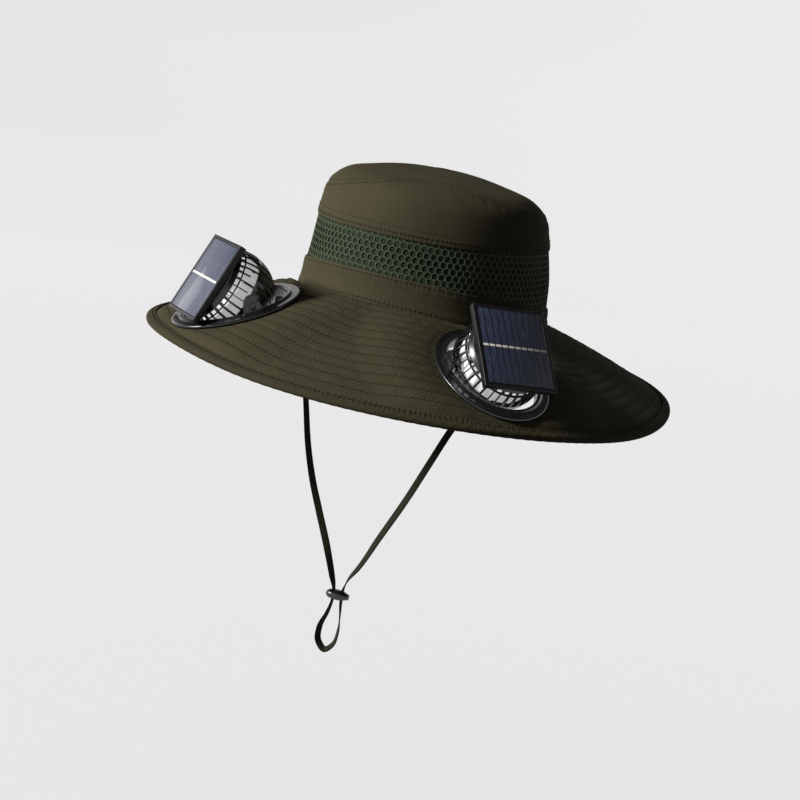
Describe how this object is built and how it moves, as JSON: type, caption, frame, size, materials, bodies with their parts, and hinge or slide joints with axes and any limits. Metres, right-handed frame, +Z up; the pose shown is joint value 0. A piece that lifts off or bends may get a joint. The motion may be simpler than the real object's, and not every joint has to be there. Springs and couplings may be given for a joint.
{
  "type": "solar fan sun hat",
  "caption": "Wide-brimmed olive cloth sun hat with a green mesh band, tilting solar-panel fans set through the brim, and a chin strap with a cord lock.",
  "frame": {"origin": "centre of the head opening, level with the seam of crown and brim", "axes": "+Z up through the crown, -Y to the front of the hat, +X to the wearer's left"},
  "size_m": [0.4184, 0.4324, 0.417],
  "materials": {
    "olive_cloth": "plain woven olive cloth, matt, quilted on the brim",
    "olive_binding": "folded olive tape, matt",
    "strap_tape": "dark woven tape, matt",
    "green_mesh": "dark green net of hexagonal holes over cloth",
    "black_plastic": "moulded, polished",
    "white_plastic": "moulded, satin",
    "motor_steel": "drawn can, satin",
    "solar_cell": "dark blue cell under clear resin"
  },
  "bodies": {
    "hat": {"crown_base_band": "olive_cloth", "mesh_band": "green_mesh", "crown_side": "olive_cloth", "crown_tip": "olive_cloth", "brim": "olive_cloth", "brim_binding": "olive_binding", "fan_base_left": "black_plastic", "fan_base_right": "black_plastic", "clamp_ring_left": "black_plastic", "clamp_ring_right": "black_plastic", "chin_strap": "strap_tape", "cord_lock": "black_plastic"},
    "fan_left": {"fan_cage_left": "black_plastic", "panel_frame_left": "black_plastic", "solar_cell_left": "solar_cell", "motor_left": "motor_steel"},
    "impeller_left": {"impeller_left": "white_plastic"},
    "fan_right": {"fan_cage_right": "black_plastic", "panel_frame_right": "black_plastic", "solar_cell_right": "solar_cell", "motor_right": "motor_steel"},
    "impeller_right": {"impeller_right": "white_plastic"}
  },
  "joints": [
    {"name": "left_tilt", "type": "hinge", "parent": "hat", "child": "fan_left", "pos_m": [0.10169, -0.12557, -0.01075], "axis": [0.7195, 0.6928, -0.0476], "range_deg": [-32.5, 20.4]},
    {"name": "left_spin", "type": "hinge", "parent": "fan_left", "child": "impeller_left", "pos_m": [0.10169, -0.12557, -0.01075], "axis": [0.5409, -0.5161, 0.6641], "continuous": true},
    {"name": "right_tilt", "type": "hinge", "parent": "hat", "child": "fan_right", "pos_m": [-0.10611, -0.12487, -0.00166], "axis": [0.7222, -0.6915, 0.0153], "range_deg": [-51.9, 1]},
    {"name": "right_spin", "type": "hinge", "parent": "fan_right", "child": "impeller_right", "pos_m": [-0.10611, -0.12487, -0.00166], "axis": [-0.6164, -0.6334, 0.4679], "continuous": true}
  ]
}
